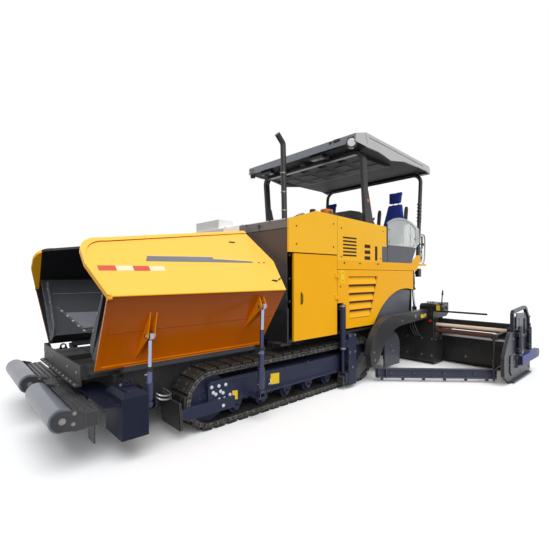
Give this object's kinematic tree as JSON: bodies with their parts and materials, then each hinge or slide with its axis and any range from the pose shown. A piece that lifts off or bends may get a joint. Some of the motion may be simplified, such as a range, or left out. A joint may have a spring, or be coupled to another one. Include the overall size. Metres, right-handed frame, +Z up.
{
  "type": "tracked asphalt paver",
  "caption": "Tracked paver: tilting hopper wings and push rollers in front, roofed operator platform, augers and an extending screed on tow arms behind.",
  "frame": {"origin": "on the ground, under the middle of the machine's bounding box", "axes": "+X forward towards the push rollers, +Y to the machine's left, +Z up"},
  "size_m": [7.0999, 5.84, 3.8872],
  "materials": {
    "yellow_paint": "gloss",
    "navy_paint": "satin",
    "dark_paint": "satin",
    "light_grey_paint": "satin",
    "grey_paint": "satin",
    "roller_steel": "satin",
    "worn_steel": "worn",
    "cast_metal": "matt",
    "track_rubber": "matt",
    "rod_chrome": "polished",
    "seat_trim": "woven",
    "screen_glass": "clear",
    "console_plastic": "matt"
  },
  "bodies": {
    "tractor": {"track_left": "track_rubber", "track_right": "track_rubber", "track_frames": "navy_paint", "chassis": "dark_paint", "conveyor_deck": "dark_paint", "front_apron": "dark_paint", "corner_boxes": "navy_paint", "hopper_back_wall": "dark_paint", "body_frame": "dark_paint", "engine_block": "cast_metal", "hood_rear": "light_grey_paint", "upper_side_panels": "yellow_paint", "lower_side_panels": "yellow_paint", "grey_side_plates": "grey_paint", "side_screens": "screen_glass", "operator_platform": "yellow_paint", "seat_frames": "console_plastic", "seat_covers": "seat_trim", "console": "console_plastic", "canopy_posts": "dark_paint", "canopy_roof": "light_grey_paint", "canopy_headliner": "console_plastic", "exhaust_pipe": "dark_paint", "tow_guides": "navy_paint", "auger_mount": "dark_paint"},
    "roller_beam": {"roller_beam": "dark_paint"},
    "hood_lid": {"hood_lid": "light_grey_paint"},
    "screed": {"tow_arms": "dark_paint", "screed_main": "dark_paint"},
    "push_roller_left": {"push_roller_left": "roller_steel"},
    "wing_left": {"hopper_wing_left": "yellow_paint", "hopper_liner_left": "dark_paint"},
    "wing_barrel_front_left": {"wing_barrel_front_left": "navy_paint"},
    "wing_rod_front_left": {"wing_rod_front_left": "rod_chrome"},
    "wing_barrel_rear_left": {"wing_barrel_rear_left": "navy_paint"},
    "wing_rod_rear_left": {"wing_rod_rear_left": "rod_chrome"},
    "door_left": {"door_left": "yellow_paint"},
    "auger_left": {"auger_left": "worn_steel"},
    "extension_left": {"screed_extension_left": "dark_paint", "end_gate_left": "dark_paint"},
    "spreader_left": {"spreader_plate_left": "navy_paint"},
    "lift_barrel_left": {"lift_barrel_left": "dark_paint"},
    "lift_rod_left": {"lift_rod_left": "rod_chrome"},
    "push_roller_right": {"push_roller_right": "roller_steel"},
    "wing_right": {"hopper_wing_right": "yellow_paint", "hopper_liner_right": "dark_paint"},
    "wing_barrel_front_right": {"wing_barrel_front_right": "navy_paint"},
    "wing_rod_front_right": {"wing_rod_front_right": "rod_chrome"},
    "wing_barrel_rear_right": {"wing_barrel_rear_right": "navy_paint"},
    "wing_rod_rear_right": {"wing_rod_rear_right": "rod_chrome"},
    "door_right": {"door_right": "yellow_paint"},
    "auger_right": {"auger_right": "worn_steel"},
    "extension_right": {"screed_extension_right": "dark_paint", "end_gate_right": "dark_paint"},
    "spreader_right": {"spreader_plate_right": "navy_paint"},
    "lift_barrel_right": {"lift_barrel_right": "dark_paint"},
    "lift_rod_right": {"lift_rod_right": "rod_chrome"}
  },
  "joints": [
    {"name": "roller_beam_swing", "type": "hinge", "parent": "tractor", "child": "roller_beam", "pos_m": [3.12, 0, 0.5], "axis": [0, 0, 1], "range_deg": [-5, 5]},
    {"name": "hood_lift", "type": "hinge", "parent": "tractor", "child": "hood_lid", "pos_m": [0.362, 0, 2.505], "axis": [0, -1, 0], "range_deg": [0, 50]},
    {"name": "screed_lift", "type": "hinge", "parent": "tractor", "child": "screed", "pos_m": [-0.11, 0, 0.13], "axis": [0, 1, 0], "range_deg": [0, 7]},
    {"name": "push_roller_left_spin", "type": "hinge", "parent": "roller_beam", "child": "push_roller_left", "pos_m": [3.45, 0.7, 0.455], "axis": [0, 1, 0], "continuous": true},
    {"name": "wing_left_tilt", "type": "hinge", "parent": "tractor", "child": "wing_left", "pos_m": [2.16, 0.93, 0.705], "axis": [-1, 0, 0], "range_deg": [0, 36]},
    {"name": "wing_barrel_front_left_swing", "type": "hinge", "parent": "tractor", "child": "wing_barrel_front_left", "pos_m": [2.74, 1.24, 0.44], "axis": [-1, 0, 0], "range_deg": [0, 23.4]},
    {"name": "wing_rod_front_left_slide", "type": "slide", "parent": "wing_barrel_front_left", "child": "wing_rod_front_left", "axis": [0, -0.0346, -0.9994], "range_m": [0, 0.2271]},
    {"name": "wing_barrel_rear_left_swing", "type": "hinge", "parent": "tractor", "child": "wing_barrel_rear_left", "pos_m": [1.52, 1.4, 0.33], "axis": [-1, 0, 0], "range_deg": [0, 24.6]},
    {"name": "wing_rod_rear_left_slide", "type": "slide", "parent": "wing_barrel_rear_left", "child": "wing_rod_rear_left", "axis": [0, -0.0312, -0.9995], "range_m": [0, 0.3397]},
    {"name": "door_left_swing", "type": "hinge", "parent": "tractor", "child": "door_left", "pos_m": [-0.045, 1.258, 1.35], "axis": [0, 0, 1], "range_deg": [0, 90]},
    {"name": "auger_left_spin", "type": "hinge", "parent": "tractor", "child": "auger_left", "pos_m": [-1.51, 0.7, 0.345], "axis": [0, 1, 0], "continuous": true},
    {"name": "extension_left_slide", "type": "slide", "parent": "screed", "child": "extension_left", "axis": [0, -1, 0], "range_m": [0, 1.05]},
    {"name": "spreader_left_swing", "type": "hinge", "parent": "extension_left", "child": "spreader_left", "pos_m": [-2.06, 2.66, 0.13], "axis": [0, 0, 1], "range_deg": [0, 41.5]},
    {"name": "lift_barrel_left_swing", "type": "hinge", "parent": "tractor", "child": "lift_barrel_left", "pos_m": [-2.38, 1.172, 1.765], "axis": [0, -1, 0], "range_deg": [0, 9.2]},
    {"name": "lift_rod_left_slide", "type": "slide", "parent": "lift_barrel_left", "child": "lift_rod_left", "axis": [0.1442, 0, 0.9896], "range_m": [0, 0.298]},
    {"name": "push_roller_right_spin", "type": "hinge", "parent": "roller_beam", "child": "push_roller_right", "pos_m": [3.45, -0.7, 0.455], "axis": [0, 1, 0], "continuous": true},
    {"name": "wing_right_tilt", "type": "hinge", "parent": "tractor", "child": "wing_right", "pos_m": [2.16, -0.93, 0.705], "axis": [1, 0, 0], "range_deg": [0, 36]},
    {"name": "wing_barrel_front_right_swing", "type": "hinge", "parent": "tractor", "child": "wing_barrel_front_right", "pos_m": [2.74, -1.24, 0.44], "axis": [1, 0, 0], "range_deg": [0, 23.4]},
    {"name": "wing_rod_front_right_slide", "type": "slide", "parent": "wing_barrel_front_right", "child": "wing_rod_front_right", "axis": [0, 0.0346, -0.9994], "range_m": [0, 0.2271]},
    {"name": "wing_barrel_rear_right_swing", "type": "hinge", "parent": "tractor", "child": "wing_barrel_rear_right", "pos_m": [1.52, -1.4, 0.33], "axis": [1, 0, 0], "range_deg": [0, 24.6]},
    {"name": "wing_rod_rear_right_slide", "type": "slide", "parent": "wing_barrel_rear_right", "child": "wing_rod_rear_right", "axis": [0, 0.0312, -0.9995], "range_m": [0, 0.3397]},
    {"name": "door_right_swing", "type": "hinge", "parent": "tractor", "child": "door_right", "pos_m": [-0.045, -1.258, 1.35], "axis": [0, 0, -1], "range_deg": [0, 90]},
    {"name": "auger_right_spin", "type": "hinge", "parent": "tractor", "child": "auger_right", "pos_m": [-1.51, -0.7, 0.345], "axis": [0, 1, 0], "continuous": true},
    {"name": "extension_right_slide", "type": "slide", "parent": "screed", "child": "extension_right", "axis": [0, 1, 0], "range_m": [0, 1.05]},
    {"name": "spreader_right_swing", "type": "hinge", "parent": "extension_right", "child": "spreader_right", "pos_m": [-2.06, -2.66, 0.13], "axis": [0, 0, -1], "range_deg": [0, 41.5]},
    {"name": "lift_barrel_right_swing", "type": "hinge", "parent": "tractor", "child": "lift_barrel_right", "pos_m": [-2.38, -1.172, 1.765], "axis": [0, -1, 0], "range_deg": [0, 9.2]},
    {"name": "lift_rod_right_slide", "type": "slide", "parent": "lift_barrel_right", "child": "lift_rod_right", "axis": [0.1442, 0, 0.9896], "range_m": [0, 0.298]}
  ],
  "couplings": [
    {"joint": "wing_barrel_front_left_swing", "follows": "wing_left_tilt", "ratio": 0.635},
    {"joint": "wing_rod_front_left_slide", "follows": "wing_left_tilt", "m_per_rad": 0.3566},
    {"joint": "wing_barrel_rear_left_swing", "follows": "wing_left_tilt", "ratio": 0.67},
    {"joint": "wing_rod_rear_left_slide", "follows": "wing_left_tilt", "m_per_rad": 0.5359},
    {"joint": "spreader_left_swing", "follows": "extension_left_slide", "rad_per_m": 0.6815},
    {"joint": "lift_barrel_left_swing", "follows": "screed_lift", "ratio": 1.26},
    {"joint": "lift_rod_left_slide", "follows": "screed_lift", "m_per_rad": 2.41},
    {"joint": "wing_barrel_front_right_swing", "follows": "wing_right_tilt", "ratio": 0.635},
    {"joint": "wing_rod_front_right_slide", "follows": "wing_right_tilt", "m_per_rad": 0.3566},
    {"joint": "wing_barrel_rear_right_swing", "follows": "wing_right_tilt", "ratio": 0.67},
    {"joint": "wing_rod_rear_right_slide", "follows": "wing_right_tilt", "m_per_rad": 0.5359},
    {"joint": "spreader_right_swing", "follows": "extension_right_slide", "rad_per_m": 0.6815},
    {"joint": "lift_barrel_right_swing", "follows": "screed_lift", "ratio": 1.26},
    {"joint": "lift_rod_right_slide", "follows": "screed_lift", "m_per_rad": 2.41}
  ]
}
